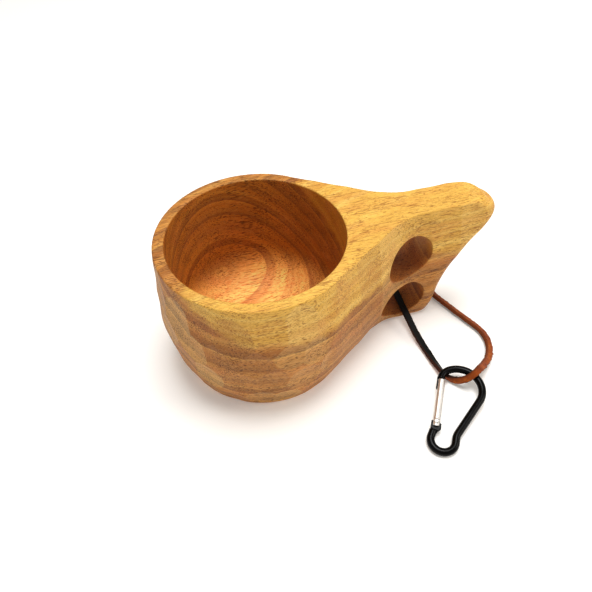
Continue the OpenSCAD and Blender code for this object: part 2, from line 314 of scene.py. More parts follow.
SLOT_GRAIN, SLOT_FLESH, SLOT_EDGE = 0, 1, 2


def leather_grain():
    """Smooth dark side of the strip."""
    g = Graph("leather_grain_side")
    p = g.place()
    blotch = g.noise(p, 0.35, 3, 0.6)
    color = g.ramp(blotch, [(0.3, "#040302"), (0.55, "#080504"), (0.75, "#0E0805")])
    creases = g.cell_edges(p, 1.6)
    fine = g.noise(p, 5.0, 3, 0.6)
    height = g.math("ADD", g.step(creases, 0.0, 0.12), g.math("MULTIPLY", fine, 0.5))
    rough = g.step(fine, 0.3, 0.7, 0.42, 0.56)
    return g.finish(color, rough, g.bump(height, 0.35, 0.00008), Specular_IOR_Level=0.12)


def leather_suede():
    """Rough orange-brown flesh side of the strip, darker along one edge."""
    g = Graph("leather_flesh_side")
    p = g.place()
    wide = g.noise(p, 0.22, 3, 0.6)
    fuzz = g.noise(p, 3.4, 4, 0.7)
    color = g.ramp(wide, [(0.3, "#6E2C09"), (0.5, "#8C3F0E"), (0.7, "#A55414")])
    band = g.math("ADD", g.attribute("across"), g.math("MULTIPLY_ADD", fuzz, 0.5, -0.25))
    color = g.mix(g.step(band, -0.35, -0.85, 0.0, 0.6), color, "#54220A")
    color = g.mix(g.step(fuzz, 0.45, 0.72, 0.0, 0.6), color, "#4E210B")
    color = g.mix(g.step(fuzz, 0.35, 0.2, 0.0, 0.5), color, "#BC7436")
    return g.finish(color, 0.92, g.bump(fuzz, 0.9, 0.00025), Specular_IOR_Level=0.12,
                    Sheen_Weight=0.12, Sheen_Roughness=0.5)


def leather_edge():
    """Cut edge of the strip, stained dark in front and worn brown behind the hook."""
    g = Graph("leather_cut_edge")
    p = g.place()
    fuzz = g.noise(p, 4.2, 4, 0.7)
    color = g.ramp(fuzz, [(0.3, "#1A0B05"), (0.52, "#341709"), (0.75, "#5A2A11")])
    worn = g.ramp(fuzz, [(0.3, "#4A1F0A"), (0.52, "#6E3411"), (0.75, "#8E4A1A")])
    color = g.mix(g.step(g.split(p)[0], 82.0, 94.0), color, worn)
    return g.finish(color, 0.85, g.bump(fuzz, 0.8, 0.0002), Specular_IOR_Level=0.2)


def strip_section():
    """Rounded-rectangle section as (across, through) points; the grain side is +through."""
    half_w, half_t = STRIP_WIDTH / 2 - STRIP_CORNER, STRIP_THICK / 2 - STRIP_CORNER
    points = []
    for cx, cy, start in ((1, 1, 0), (-1, 1, 90), (-1, -1, 180), (1, -1, 270)):
        for a in (0, 22.5, 45, 67.5, 90):
            t = math.radians(start + a)
            points.append((cx * half_w + STRIP_CORNER * math.cos(t),
                           cy * half_t + STRIP_CORNER * math.sin(t)))
    # the long flat sides get points of their own
    filled = []
    for k, p in enumerate(points):
        q = points[(k + 1) % len(points)]
        filled.append(p)
        gap = math.dist(p, q)
        if gap > 0.5:
            extra = int(round(gap / 0.3))
            filled += [(p[0] + (q[0] - p[0]) * i / extra, p[1] + (q[1] - p[1]) * i / extra)
                       for i in range(1, extra)]
    return np.array(filled)


def leather_slots(section, edge_from):
    """Material slot of each face round a section; edges start at a share of the half width."""
    mid = (section + np.roll(section, -1, 0)) / 2
    return np.where(np.abs(mid[:, 0]) > edge_from * STRIP_WIDTH / 2, SLOT_EDGE,
                    np.where(mid[:, 1] > 0, SLOT_GRAIN, SLOT_FLESH))


def leather_piece(name, points, faces, slots):
    piece = make_object(name, points.reshape(-1, 3), faces, LEATHER)
    piece.data.polygons.foreach_set("material_index", np.asarray(slots, dtype=np.int32))
    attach(piece, "cup")
    return piece


def strip_piece(name, route, per_span, seed):
    """Sweeps the strip's section along a route, with the small unevenness of cut leather."""
    rows = spline(route, per_span)
    centre, roll = rows[:, :3], np.radians(rows[:, 3])
    ahead = unit(np.gradient(centre, axis=0))
    left = unit(np.cross((0.0, 0.0, 1.0), ahead))
    up = np.cross(ahead, left)
    wide = left * np.cos(roll)[:, None] + up * np.sin(roll)[:, None]
    thin = up * np.cos(roll)[:, None] - left * np.sin(roll)[:, None]
    section = strip_section()
    rng = np.random.default_rng(seed)
    along = np.r_[0, np.cumsum(np.linalg.norm(np.diff(centre, axis=0), axis=1))]
    waver = sum(np.sin(along[:, None] * f + rng.uniform(0, 6.28, (1, 2))) * s
                for f, s in ((0.5, 0.5), (1.3, 0.35), (2.9, 0.25)))
    grow_w = 1 + 0.03 * waver[:, :1]
    grow_t = 1 + 0.04 * waver[:, 1:]
    rough = rng.normal(0, 1, (len(centre), len(section)))
    rough = (rough + np.roll(rough, 1, 0) + np.roll(rough, 1, 1)) / 1.7
    edge = np.clip(np.abs(section[:, 0]) / (STRIP_WIDTH / 2) - 0.7, 0, 0.3) / 0.3
    flesh = np.clip(-section[:, 1] / (STRIP_THICK / 2), 0, 1)
    worn = (section[None, :, 0] > 0) * ease((centre[:, :1] - WORN_FROM) / WORN_OVER)
    amount = FRAY * (0.15 + 0.85 * np.maximum(edge * (1 + 1.4 * worn), 0.8 * flesh)) * rough
    sect = section[None] * (1 + amount[..., None] * 0.8)
    points = (centre[:, None] + wide[:, None] * (sect[..., :1] * grow_w[:, None])
              + thin[:, None] * (sect[..., 1:] * grow_t[:, None]))
    slots = np.tile(leather_slots(section, 0.9), len(centre) - 1)
    piece = leather_piece(name, points, tube_faces(len(centre), len(section)),
                          np.r_[slots, SLOT_EDGE, SLOT_EDGE])
    store(piece, "across", np.tile(section[:, 0] / (STRIP_WIDTH / 2), len(centre)))
    return piece, centre


LEATHER = (leather_grain(), leather_suede(), leather_edge())
lanyard, lanyard_line = strip_piece("leather_strip", LANYARD_ROUTE, 10, 3)
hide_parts("lanyard")


# ---- the carved cup ----

# The same sizes as in the CAD part
CUP_H = 71.5
MOUTH_R = 39.5
FLOOR_T = 9.5
HOLLOW_R = 40.0
KNEE_H = 22                 # height above the floor where the hollow's wall starts to curve
KNEE_POWER = 2 / 0.83
HANDLE_HALF = 8.7
NECK_ANGLE = math.radians(34)
NECK_R = 36.0
END_R = 9.2
END_POWER = 2 / 0.9
HOLE_R = 12.25
HOLE_X = 70.0
HOLE_Z = (17.0, 47.0)
RIM_ROUND, BASE_ROUND, HOLE_ROUND = 0.5, 1.1, 0.7

# Knife facets on the bowl: rows of (height, lean), each cut a little out of place
FACET_COLS = 20
FACET_TURN = math.radians(-1.5)
FACET_ROWS = ((8, 0.0), (26, 0.0), (43, 0.0), (60, 0.075))
FACET_BITE = 0.55
FACET_SCOOP = 0.12
FACET_ARCH = 0.005
FACET_SOFT = 0.035          # softness of the ridges between facets
FACET_PROUD = 0.2           # most that a ridge stands past the smooth profile
FACET_REACH = 0.6           # how far round the bowl each cut is worked out
FACET_FROM, FACET_OVER = 58, 12     # degrees from the handle where the facets fade in
UNEVEN_Z, UNEVEN_COL, UNEVEN_LEAN = 1.4, 0.14, 0.03
TURN_STEP, Z_STEP = 0.25, 0.2       # grid of the facet table, in degrees and millimetres
FACET_TOP = 72.6
FACET_BASE = 40.0           # any radius near the surface, which keeps exponents small

# (height, radius) of the bowl, and (height, X) of the handle's end
BOWL_PROFILE = ((-1, 38.8), (3, 41), (9, 43.2), (18, 45.3), (30, 47.1), (41, 47.5),
                (52, 46.9), (62, 45.5), (71.5, 44.3))
BEAK_PROFILE = ((-1, 89.5), (5, 92), (18, 94), (32, 98.5), (46, 106.3), (56, 112.3),
                (63, 115), (68, 113.6), (71.5, 108.5))
# A little more than the CAD part's 1.0, so that no daylight shows through the upper hole
HANDLE_SWELL = 1.2
UNDER = 1.0
HANDLE_LIFT = 1.6
# Shallow upright knife cuts along the neck and the handle: (place, width, depth)
NECK_CUTS = ((33, 13, 0.3), (46, 13, 0.3), (60, 14, 0.28), (75, 15, 0.25), (90, 14, 0.28),
             (103, 11, 0.3))


def smooth_at(table, place):
    """Smooth value of a table of (place, value) rows, by cubic pieces."""
    t = np.asarray(table, dtype=float)
    place = np.clip(place, t[0, 0], t[-1, 0])
    k = np.clip(np.searchsorted(t[:, 0], place, side="right") - 1, 0, len(t) - 2)
    slope = np.array([(t[min(len(t) - 1, i + 1), 1] - t[max(0, i - 1), 1])
                      / (t[min(len(t) - 1, i + 1), 0] - t[max(0, i - 1), 0])
                      for i in range(len(t))])
    h = t[k + 1, 0] - t[k, 0]
    s = (place - t[k, 0]) / h
    return (t[k, 1] * (2 * s ** 3 - 3 * s ** 2 + 1) + slope[k] * h * (s ** 3 - 2 * s ** 2 + s)
            + t[k + 1, 1] * (3 * s ** 2 - 2 * s ** 3) + slope[k + 1] * h * (s ** 3 - s ** 2))


def scatter(i, j, seed):
    """A fixed, uneven number between -1 and 1 for facet i of row j."""
    return math.sin(math.radians(i * 137.5 + j * 71.3 + seed * 53.9))


def cut_light_shade(i, j):
    """Painted light and shade of facet i of row j, between -1 (darkest) and 1 (lightest)."""
    return math.sin(math.radians(70 * i - 20 * j + 190 * i * j + 90))


def facet_table():
    """Radius of the carved bowl by angle and height, with softened ridges, and the painted light
    and shade of each facet. The far side mirrors the near one in shape."""
    angles = np.radians(np.arange(0, 360, TURN_STEP))
    folded = np.minimum(angles, 2 * math.pi - angles)
    far = angles < math.pi
    heights = np.arange(-UNDER, FACET_TOP, Z_STEP)
    profile = smooth_at(BOWL_PROFILE, heights)[None, :]
    column = 2 * math.pi / FACET_COLS
    total = np.exp(-(profile + FACET_PROUD - FACET_BASE) / FACET_SOFT) * np.ones((len(angles), 1))
    nearest = profile + FACET_PROUD + np.zeros((len(angles), 1))
    tone = np.zeros_like(nearest)
    for j, (row_z, row_lean) in enumerate(FACET_ROWS):
        for i in range(FACET_COLS):
            middle_z = row_z + UNEVEN_Z * scatter(i, j, 1)
            middle = FACET_TURN + (i + 0.5 * (j % 2) + UNEVEN_COL * scatter(i, j, 2)) * column
            slope = float(smooth_at(BOWL_PROFILE, middle_z + 2)
                          - smooth_at(BOWL_PROFILE, middle_z - 2)) / 4
            lean = slope + row_lean + UNEVEN_LEAN * scatter(i, j, 3)
            turn = (folded - middle + math.pi) % (2 * math.pi) - math.pi
            near = np.abs(turn) < FACET_REACH
            radius = float(smooth_at(BOWL_PROFILE, middle_z)) - FACET_BITE
            turn = turn[near, None]
            rise = heights[None, :] - middle_z
            scoop = FACET_SCOOP * np.clip(1 - (turn / (column / 2)) ** 2, 0, 1)
            cut = (radius + rise * lean) / np.cos(turn) + FACET_ARCH * rise ** 2 - scoop
            total[near] += np.exp(-(cut - FACET_BASE) / FACET_SOFT)
            closer = cut < nearest[near]
            nearest[near] = np.where(closer, cut, nearest[near])
            # painted light and shade of this facet; the far side gets a shifted pattern
            shade = np.where(far[near], cut_light_shade(i + 7, j), cut_light_shade(i, j))
            tone[near] = np.where(closer, shade[:, None], tone[near])
    cut = FACET_BASE - FACET_SOFT * np.log(total)
    keep = ease((np.degrees(folded) - FACET_FROM) / FACET_OVER)[:, None]
    radii = profile + (cut - profile) * keep
    tone = tone * keep
    return np.vstack([radii, radii[:1]]), heights, np.vstack([tone, tone[:1]])


FACETS, FACET_Z, FACET_LIGHT_SHADE = facet_table()


def bowl_radius(angle, z):
    """Radius of the carved bowl, between the facet table's places."""
    u = (angle % (2 * math.pi)) / math.radians(TURN_STEP)
    v = np.clip((z - FACET_Z[0]) / Z_STEP, 0, len(FACET_Z) - 1.001)
    i, j = np.minimum(u.astype(int), len(FACETS) - 2), v.astype(int)
    fu, fv = u - i, v - j
    return ((FACETS[i, j] * (1 - fu) + FACETS[i + 1, j] * fu) * (1 - fv)
            + (FACETS[i, j + 1] * (1 - fu) + FACETS[i + 1, j + 1] * fu) * fv)


def along_neck(x, z):
    """Place of a point across the slanting knife cuts of the neck."""
    return x + 0.12 * (z - 40)


def facet_light_shade(points):
    """Painted light and shade: a steady value for each knife cut, zero elsewhere."""
    x, y, z = points.T
    angle = np.arctan2(y, x) % (2 * math.pi)
    i = np.minimum((angle / math.radians(TURN_STEP) + 0.5).astype(int), len(FACETS) - 1)
    j = np.clip(((z - FACET_Z[0]) / Z_STEP + 0.5).astype(int), 0, len(FACET_Z) - 1)
    r = np.hypot(x, y)
    bowl = FACET_LIGHT_SHADE[i, j] * (np.abs(r - FACETS[i, j]) < 1.5)
    neck = np.zeros_like(x)
    # painted light and shade on the neck's knife cuts as well
    for k, (place, width, _) in enumerate(NECK_CUTS):
        neck = np.where(np.abs(along_neck(x, z) - place) < width / 2, scatter(k, 2, 7), neck)
    on_side = (np.abs(y) > 7.5) & (x > 25) & (r > 42)
    tone = np.where(np.abs(bowl) > 0.001, bowl, np.where(on_side, 0.6 * neck, 0))
    for hole_z in HOLE_Z:
        tone = tone * (np.hypot(x - HOLE_X, z - hole_z) > HOLE_R + 0.6)
    return tone * (z > 0.3) * (z < 71.3)


def round_max(a, b, r):
    """Intersection of two solids with its edge rounded to radius r."""
    return (np.minimum(np.maximum(a, b), -r)
            + np.hypot(np.maximum(a + r, 0), np.maximum(b + r, 0)))


def low_z(x):
    """Height of the block's underside, which rises under the handle."""
    return -UNDER + (HANDLE_LIFT + UNDER) * ease((x - 44) / 20)


def top_z(x):
    """Height of the top, which droops a little at the handle's end."""
    return CUP_H - 2.6 * np.clip((x - 93) / 17, 0, 1) ** 2


def outer_field(x, y, z):
    """Signed distances, about, to the sides, top and bottom of the block before hollowing."""
    low, top = low_z(x), top_z(x)
    zn = -UNDER + (z - low) / (top - low) * (CUP_H + UNDER)     # height as a full block's
    ay = np.abs(y)
    sin_n, cos_n = math.sin(NECK_ANGLE), math.cos(NECK_ANGLE)
    smooth_r = smooth_at(BOWL_PROFILE, zn)
    thick = HANDLE_HALF + HANDLE_SWELL * (1 - (2 * zn / CUP_H - 1) ** 2)
    flank = x * sin_n + ay * cos_n - smooth_r
    foot_x, foot_y = smooth_r * sin_n, smooth_r * cos_n
    meet_x = foot_x + (foot_y - thick) / math.tan(NECK_ANGLE)
    curve_x = meet_x + NECK_R * math.tan(NECK_ANGLE / 2)
    dx, dy = curve_x - x, thick + NECK_R - ay
    turn = np.arctan2(dx, dy)
    neck = np.where(turn > NECK_ANGLE, flank, NECK_R - np.hypot(dx, dy))
    side = np.where(turn > 0, neck, ay - thick)
    end_x = smooth_at(BEAK_PROFILE, zn)
    end_r = np.minimum(END_R, end_x - curve_x - 0.4)
    past = np.maximum(x - (end_x - end_r), 0) / end_r
    end = ((past ** END_POWER + (ay / thick) ** END_POWER) ** (1 / END_POWER) - 1) * thick
    side = np.where(past > 0, end, side)
    side = side + sum(depth * np.clip(1 - (2 * (along_neck(x, z) - place) / width) ** 2, 0, 1)
                      for place, width, depth in NECK_CUTS)
    angle = np.arctan2(y, x)
    bowl = np.hypot(x, y) - bowl_radius(angle, zn)
    blend = ease((np.degrees(np.abs(angle)) - 54) / 4)
    body = side * (1 - blend) + bowl * blend
    return body, z - top, np.maximum(low, 0) - z


def hollow_field(x, y, z):
    """Signed distance, about, to the bowl's hollow, below zero inside it."""
    knee, power = FLOOR_T + KNEE_H, KNEE_POWER
    r = np.hypot(x, y)
    wall = np.interp(z, (knee, knee + 18, CUP_H), (HOLLOW_R, HOLLOW_R + 0.2, MOUTH_R))
    u, v = r / HOLLOW_R, np.maximum(knee - z, 0) / KNEE_H
    g = np.maximum(u ** power + v ** power, 1e-9)
    grad = g ** (1 / power - 1) * np.hypot(u ** (power - 1) / HOLLOW_R,
                                           v ** (power - 1) / KNEE_H)
    lower = (g ** (1 / power) - 1) / np.maximum(grad, 1 / HOLLOW_R)
    return np.where(z > knee, r - wall, lower)


def cup_field(x, y, z):
    body, top, bottom = outer_field(x, y, z)
    solid = round_max(body, top, RIM_ROUND)
    solid = round_max(solid, bottom, BASE_ROUND)
    solid = round_max(solid, -hollow_field(x, y, z), RIM_ROUND)
    for hole_z in HOLE_Z:
        solid = round_max(solid, HOLE_R - np.hypot(x - HOLE_X, z - hole_z), HOLE_ROUND)
    return solid


def surface_net(field, low, high, cell):
    """Points, quads and normals of the zero surface of a field, one point for each cell that
    it crosses, settled on the surface."""
    axes = [np.arange(a - cell * 1.5, b + cell * 2, cell) for a, b in zip(low, high)]
    values = np.empty([len(a) for a in axes], dtype=np.float32)
    yy, zz = np.meshgrid(axes[1], axes[2], indexing="ij")
    for i, x in enumerate(axes[0]):
        values[i] = field(np.full_like(yy, x), yy, zz)
    inside = values < 0
    n = [s - 1 for s in values.shape]
    corners = [(i, j, k) for i in (0, 1) for j in (0, 1) for k in (0, 1)]
    count = sum(inside[i:n[0] + i, j:n[1] + j, k:n[2] + k].astype(np.int8) for i, j, k in corners)
    cells = np.argwhere((count > 0) & (count < 8))
    number = np.full(n, -1, dtype=np.int64)
    number[tuple(cells.T)] = np.arange(len(cells))
    total = np.zeros((len(cells), 3))
    weight = np.zeros((len(cells), 1))
    for a in corners:
        for axis in range(3):
            if a[axis]:
                continue
            b = tuple(v + (1 if d == axis else 0) for d, v in enumerate(a))
            va = values[tuple((cells + a).T)].astype(float)
            vb = values[tuple((cells + b).T)].astype(float)
            cross = (va < 0) != (vb < 0)
            t = np.where(cross, va / np.where(cross, va - vb, 1), 0)
            point = np.array(a, dtype=float)[None] + np.eye(3)[axis][None] * t[:, None]
            total += np.where(cross[:, None], point, 0)
            weight += cross[:, None]
    points = cells + total / weight
    points = np.array([a[0] for a in axes])[None] + points * cell
    faces = []
    for axis in range(3):
        # a quad round each grid edge whose two ends lie on different sides
        lo = [slice(1, m) for m in n]
        hi = list(lo)
        lo[axis], hi[axis] = slice(0, n[axis]), slice(1, n[axis] + 1)
        here, there = inside[tuple(lo)], inside[tuple(hi)]
        for flip in (False, True):
            edges = np.argwhere((here & ~there) if not flip else (~here & there))
            start = np.ones(3, dtype=int)
            start[axis] = 0
            edges = edges + start
            u, v = [d for d in range(3) if d != axis]
            quad = []
            for du, dv in ((0, 0), (1, 0), (1, 1), (0, 1)):
                c = edges.copy()
                c[:, u] -= 1 - du
                c[:, v] -= 1 - dv
                quad.append(number[tuple(c.T)])
            quad = np.stack(quad, axis=1)
            if flip == (axis != 1):
                quad = quad[:, ::-1]
            faces.append(quad)
    for _ in range(3):
        value, grad = field_gradient(field, points, 0.08)
        step = value[:, None] * grad
        length = np.linalg.norm(step, axis=1, keepdims=True)
        points = points - step * np.minimum(1, 0.6 * cell / np.maximum(length, 1e-9))
    _, grad = field_gradient(field, points, 0.12)
    return points, np.vstack(faces), unit(grad)


def field_gradient(field, p, h):
    """Value, and gradient over its squared length, for a Newton step; h is the reach."""
    value = field(p[:, 0], p[:, 1], p[:, 2])
    grad = []
    for axis in range(3):
        q = p.copy()
        q[:, axis] += h
        ahead = field(q[:, 0], q[:, 1], q[:, 2])
        q[:, axis] -= 2 * h
        grad.append((ahead - field(q[:, 0], q[:, 1], q[:, 2])) / (2 * h))
    grad = np.stack(grad, axis=1)
    return value, grad / np.maximum((grad ** 2).sum(axis=1, keepdims=True), 0.05)


RING_PITCH, RING_START = 9.75, 0.46
PALEST = (0.95, 0.8, 0.6)   # linear colour that the bowl's floor, with its painted light, never passes


def wood():
    """Solid grain: pale wood above, brown below, growth rings between, pores along X."""
    g = Graph("oiled_wood")
    p = g.place()
    x, y, z = g.split(p)
    # growth layers: they climb towards the back, more and more steeply, and sink along X
    warp = g.noise(p, (0.012, 0.03, 0.03), 2, 0.45)
    layer = g.math("ADD", z, g.math("MULTIPLY", x, 0.27))
    layer = g.math("ADD", layer, g.math("MULTIPLY", y, g.math("MULTIPLY_ADD", y, -0.0077, -0.56)))
    layer = g.math("ADD", layer, g.math("MULTIPLY", x, g.math(
        "ADD", g.math("MULTIPLY", x, -0.0015), g.math("MULTIPLY", y, 0.0058))))
    layer = g.math("ADD", layer, g.math("MULTIPLY_ADD", warp, 3.0, -1.5))
    # pale sapwood above, brown heartwood below and at the bowl's far left
    ragged = g.noise(p, (0.03, 0.12, 0.12), 4, 0.65)
    height = g.math("ADD", g.math("MULTIPLY_ADD", x, 0.08, layer),
                    g.math("MULTIPLY_ADD", ragged, 16.0, -8.0))
    left = g.math("MINIMUM", g.math("ADD", x, 16.0), 0.0)
    height = g.math("ADD", height, g.math("MULTIPLY", left, 0.55))
    heart = g.step(height, 64.5, 57.0)
    tone = g.noise_1d(layer, 0.25, 2, 0.5)
    sap = g.ramp(tone, [(0.32, "#DDA845"), (0.5, "#E4B34F"), (0.68, "#EABF5E")])
    core = g.ramp(tone, [(0.32, "#B87832"), (0.5, "#C5863C"), (0.68, "#D19648")])
    color = g.mix(heart, sap, core)
    # the bowl's inside: painted shade on its walls, redder and darker, and darker still towards the
    # right; painted light on its floor, which is paler
    inside = g.math("MULTIPLY", g.step(g.vec("LENGTH", g.join(x, y, 0.0)), 40.6, 40.2),
                    g.step(z, 71.4, 70.8))
    # painted shade: the upper inner walls are multiplied towards a redder, darker colour
    shaded_walls = g.math("MULTIPLY", inside, g.step(z, 14.0, 30.0))
    color = g.tint(shaded_walls, color, "#FFE6B4")
    # painted shade: the right-hand inner wall, turned away from the light, is darker still
    color = g.tint(g.math("MULTIPLY", shaded_walls, g.step(x, 12.0, 36.0)), color, "#DCCDC0")
    deep = g.math("MULTIPLY", inside, g.step(z, 27.0, 14.0))
    # painted light: the bowl's floor is mixed towards a brighter orange
    color = g.mix(g.math("MULTIPLY", deep, 0.74), color, "#FAB45C")
    # growth rings: each starts sharply dark, then fades
    turns = g.math("MULTIPLY_ADD", layer, 1 / RING_PITCH, RING_START)
    uneven = g.math("MULTIPLY_ADD", g.noise_1d(layer, 0.08, 1, 0.5), 0.16, -0.08)
    turns = g.math("ADD", turns, uneven)
    phase = g.math("FRACT", turns)
    ring = g.math("MULTIPLY", g.step(phase, 0.8, 0.05), g.step(phase, 0.0, 0.045))
    which = g.add("ShaderNodeTexWhiteNoise", noise_dimensions="1D")
    g.put(which.inputs["W"], g.math("FLOOR", turns))
    ring = g.math("MULTIPLY", ring, g.step(which.outputs["Value"], 0.0, 1.0, 0.6, 1.0))
    thin = g.math("FRACT", g.math("MULTIPLY", turns, 3.3))
    ring = g.math("ADD", ring, g.math("MULTIPLY", g.step(thin, 0.7, 0.1), 0.22))
    ring = g.math("MULTIPLY", ring, g.math("MULTIPLY_ADD", heart, 0.55, 0.10))
    color = g.mix(ring, color, "#74401C")
    # cloudy patches, orange along the grain
    cloud = g.noise(p, (0.025, 0.11, 0.11), 4, 0.65)
    color = g.mix(g.step(cloud, 0.42, 0.72, 0.0, 0.45), color, "#C4743A")
    # painted shade inside the finger holes: their walls are darker, the upper one with a pinker
    # cast
    for hole_z, code in zip(HOLE_Z, ("#E0CBB4", "#DCC6C4")):
        reach = g.vec("LENGTH", g.join(g.math("SUBTRACT", x, HOLE_X), 0.0,
                                       g.math("SUBTRACT", z, hole_z)))
        color = g.tint(g.step(reach, HOLE_R + 0.5, HOLE_R + 0.1), color, code)
    # painted light and shade: each knife facet is made paler or darker, as the light falls on it
    facet = g.attribute("facet_light_shade")
    color = g.mix(g.step(facet, 0.0, 1.0, 0.0, 0.26), color, "#EFCB7C")
    color = g.mix(g.step(facet, 0.0, -1.0, 0.0, 0.26), color, "#8F5E2C")
    # fibres and pores: fine dark dashes along the grain, longer on the bowl's floor
    fine = g.noise(p, (0.26, 3.6, 3.6), 4, 0.7)
    color = g.mix(g.step(fine, 0.50, 0.64, 0.0, 0.56), color, "#9A5820")
    color = g.mix(g.step(fine, 0.46, 0.32, 0.0, 0.20), color, "#F4D08E")
    speck = g.noise(p, (0.9, 3.0, 3.0), 2, 0.6)
    color = g.mix(g.step(speck, 0.58, 0.66, 0.0, 0.36), color, "#80420E")
    crowd = g.step(g.noise(p, (0.05, 0.16, 0.16), 3, 0.6), 0.3, 0.72, -0.05, 0.055)
    dash = g.noise(p, (0.17, 2.5, 2.5), 1, 0.4)
    short = g.noise(p, (0.55, 2.2, 2.2), 1, 0.4)
    short = g.math("MULTIPLY", g.step(g.math("ADD", short, crowd), 0.63, 0.68),
                   g.math("SUBTRACT", 1.0, deep))
    pores = g.math("MAXIMUM", g.step(g.math("ADD", dash, crowd), 0.60, 0.64), short)
    long = g.step(g.noise(p, (0.13, 1.5, 1.5), 2, 0.5), 0.53, 0.62, 0.0, 0.55)
    color = g.mix(g.math("MULTIPLY", deep, long), color, "#A65018")
    stain = g.mix(deep, g.mix(heart, "#7C3A08", "#451F08"), "#84380E")
    color = g.mix(g.math("MULTIPLY", pores, g.math("MULTIPLY_ADD", heart, 0.14, 0.60)),
                  color, stain)
    # painted light on the bowl's floor: it is paler towards the back and the left
    back_left = g.math("MULTIPLY_ADD", x, -0.6, y)
    painted_floor_light = g.math("MULTIPLY", deep, g.step(back_left, -18.0, 12.0, 0.0, 0.85))
    color = g.vec("SCALE", color, scale=g.math("ADD", painted_floor_light, 1.0))
    color = g.vec("MINIMUM", color, PALEST)
    relief = g.math("SUBTRACT", g.math("MULTIPLY", fine, 0.3), g.math("MULTIPLY", pores, 0.8))
    rough = g.step(fine, 0.3, 0.7, 0.46, 0.60)
    return g.finish(color, rough, g.bump(relief, 0.4, 0.00012), Specular_IOR_Level=0.2)


def cad_corners(node):
    """Low and high corner of a CAD node's box, in millimetres."""
    return [np.array(v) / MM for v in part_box(node)]


def build_cup():
    low, high = cad_corners("cup_body")
    cell = 0.62
    points, faces, normals = surface_net(cup_field, low, high, cell)
    cup = make_object("carved_cup", points, faces, [wood()], normals=normals)
    store(cup, "facet_light_shade", facet_light_shade(points))
    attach(cup, "cup")
    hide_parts("cup_body")


build_cup()


# ---- snap hook ----

# Sizes in the hook's own frame: the rivet at the origin, X along the gate, Y outwards.
# SHOULDER_A, SPINE_A and GATE_SWING are in degrees.
ROD_R = 1.8
GATE_R = 1.75
TANG_T = 1.3
RIVET_R = 0.75
ROD_END_R = 4.5
HOOK_TILT = math.radians(6)
HOOK_YAW = math.radians(59.2)
RIVET_XY = (62.1, -72.8)
BOW_C, BOW_R = np.array([19.2, -8.4]), 10.6
SHOULDER_R, SHOULDER_A = 7.0, 30.0
SMALL_C, SMALL_R = np.array([-8.0, -3.9]), 5.5
WAIST_R, SPINE_A = 8.0, 24.0
TANG_EDGE = ((0.6, 2.25), (-4.2, 2.3), (-6, 1.8), (-6.2, 0.4), (-5.2, -0.6), (-3.5, -2.2),
             (-2.9, -2.4), (-0.5, -2.35))
TONGUE_EDGE = ((22.9, 2.1), (17.3, 2.2), (16.7, 1.8), (18.4, -1), (22.9, -1))
SLOT_HALF = 0.75
SLOT_END = 2.9
TONGUE_SLOT = (16.3, -1.12)
GATE_FOOT_R = 2.5
NOSE_GAP = 0.25
RIVET_GAP = 0.05
BORE_R, BORE_END = 1.1, 13.0
CAM_LOW, CAM_RISE, GATE_SWING = 1.7, 0.5, 28.0
# Boxes round the rod and the gate, in the hook's frame
ROD_BOX = ((-15.3, -20.8, -1.8), (31.6, 3.5, 1.8))
GATE_BOX = ((-2.5, -1.75, -1.75), (22.1, 1.75, 1.75))


def turned(angle):
    """Unit vector at an angle in degrees."""
    a = math.radians(angle)
    return np.array([math.cos(a), math.sin(a)])


SHOULDER_C = BOW_C + (BOW_R - SHOULDER_R) * turned(SHOULDER_A)
NOSE_X = SHOULDER_C[0]
SPINE_TOP = BOW_C + BOW_R * turned(-90 - SPINE_A)
SMALL_STOP = (math.degrees(math.atan2(-SMALL_C[1], -SMALL_C[0]))
              + math.degrees(math.acos(SMALL_R / np.linalg.norm(SMALL_C))))
SPINE_LEN = ((SMALL_C[1] - SMALL_R - SPINE_TOP[1]) / math.sin(math.radians(SPINE_A))
             - WAIST_R * math.tan(math.radians(SPINE_A / 2)))
SPINE_END = SPINE_TOP + SPINE_LEN * turned(180 - SPINE_A)
WAIST_C = SPINE_END - WAIST_R * turned(90 - SPINE_A)
SMALL_END = SMALL_C + SMALL_R * turned(SMALL_STOP)


def hook_frame():
    """Origin and axes of the hook's frame, in millimetres."""
    rise = ROD_R + math.sin(HOOK_TILT) * (np.linalg.norm(SMALL_C - BOW_C) + SMALL_R - BOW_C[0])
    x = np.array([math.cos(HOOK_TILT) * math.cos(HOOK_YAW),
                  math.cos(HOOK_TILT) * math.sin(HOOK_YAW), math.sin(HOOK_TILT)])
    y = np.array([-math.sin(HOOK_YAW), math.cos(HOOK_YAW), 0.0])
    return np.array([RIVET_XY[0], RIVET_XY[1], rise]), np.stack([x, y, np.cross(x, y)])


HOOK_ORIGIN, HOOK_AXES = hook_frame()


def arc_distance(x, y, centre, radius, start, end):
    """Distance in the hook's plane to an arc, from angle start up to angle end."""
    dx, dy = x - centre[0], y - centre[1]
    turn = (np.degrees(np.arctan2(dy, dx)) - start) % 360
    ends = [np.hypot(*(np.array([dx, dy]) - (radius * turned(t))[:, None]))
            for t in (start, end)]
    return np.where(turn <= end - start, np.abs(np.hypot(dx, dy) - radius), np.minimum(*ends))


def line_distance(x, y, a, b):
    """Distance in the hook's plane to a line from a to b."""
    ab = np.asarray(b) - np.asarray(a)
    t = np.clip(((x - a[0]) * ab[0] + (y - a[1]) * ab[1]) / (ab @ ab), 0, 1)
    return np.hypot(x - a[0] - t * ab[0], y - a[1] - t * ab[1])


